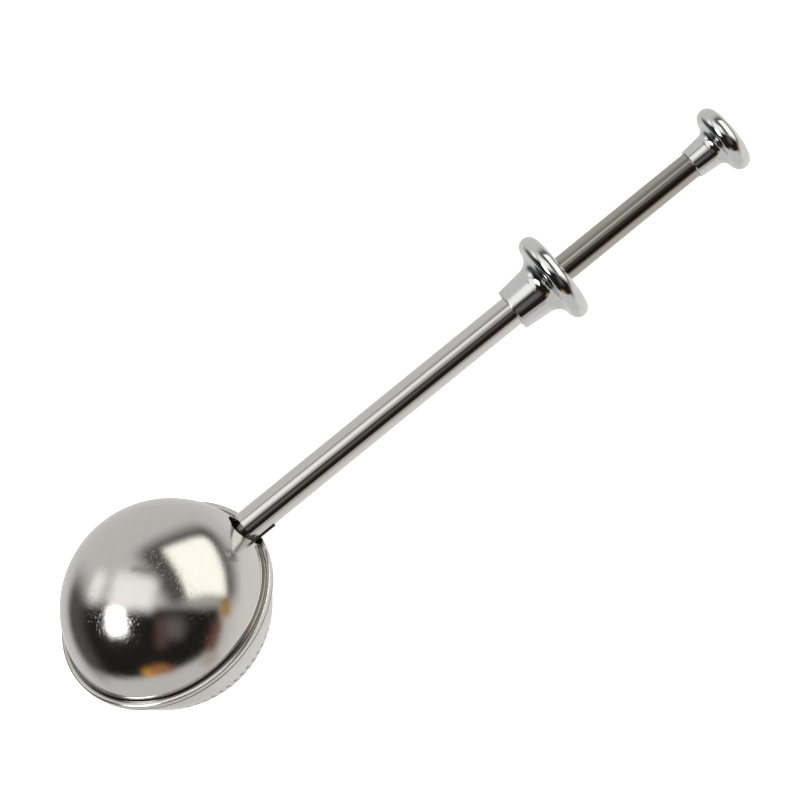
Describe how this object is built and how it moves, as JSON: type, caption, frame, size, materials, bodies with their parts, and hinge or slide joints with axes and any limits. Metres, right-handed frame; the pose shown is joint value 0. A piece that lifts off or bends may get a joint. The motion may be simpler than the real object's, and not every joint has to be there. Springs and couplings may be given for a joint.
{
  "type": "flour dusting wand",
  "caption": "Handheld sifting ball on a sprung push handle: pressing the thumb knob slides the solid bowl off the perforated one.",
  "frame": {"origin": "centre of the ball, on the plane where the two bowls meet", "axes": "+X along the handle towards the thumb knob, +Z out of the meeting plane into the solid bowl, with the perforated bowl below; +Y completes the frame, and the shape is alike on both sides of Y = 0"},
  "size_m": [0.2143, 0.0586, 0.0511],
  "materials": {
    "satin_bowl": "satin polished",
    "polished_tube": "mirror polished",
    "plunger_steel": "bright drawn",
    "chrome_fittings": "mirror chrome",
    "plain_steel": "plain",
    "spring_wire": "drawn wire",
    "bearing_plastic": "matt"
  },
  "bodies": {
    "handle": {"handle_tube": "polished_tube", "finger_flange": "chrome_fittings", "guide_bush": "bearing_plastic", "spring_seat": "plain_steel", "tube_saddle": "plain_steel", "perforated_bowl": "satin_bowl"},
    "plunger": {"thumb_knob": "chrome_fittings", "knob_stud": "plain_steel", "plunger_tube": "plunger_steel", "plunger_plug": "plain_steel", "push_rod": "plain_steel", "stop_collar": "plain_steel", "rod_bracket": "plain_steel", "bracket_nuts": "plain_steel", "solid_bowl": "satin_bowl", "return_spring": "spring_wire"}
  },
  "joints": [
    {"name": "plunger_push", "type": "slide", "parent": "handle", "child": "plunger", "axis": [-1, 0, 0], "range_m": [0, 0.032], "stiffness_N_per_m": 150, "springref_m": -0.02, "deforming": ["return_spring"]}
  ]
}
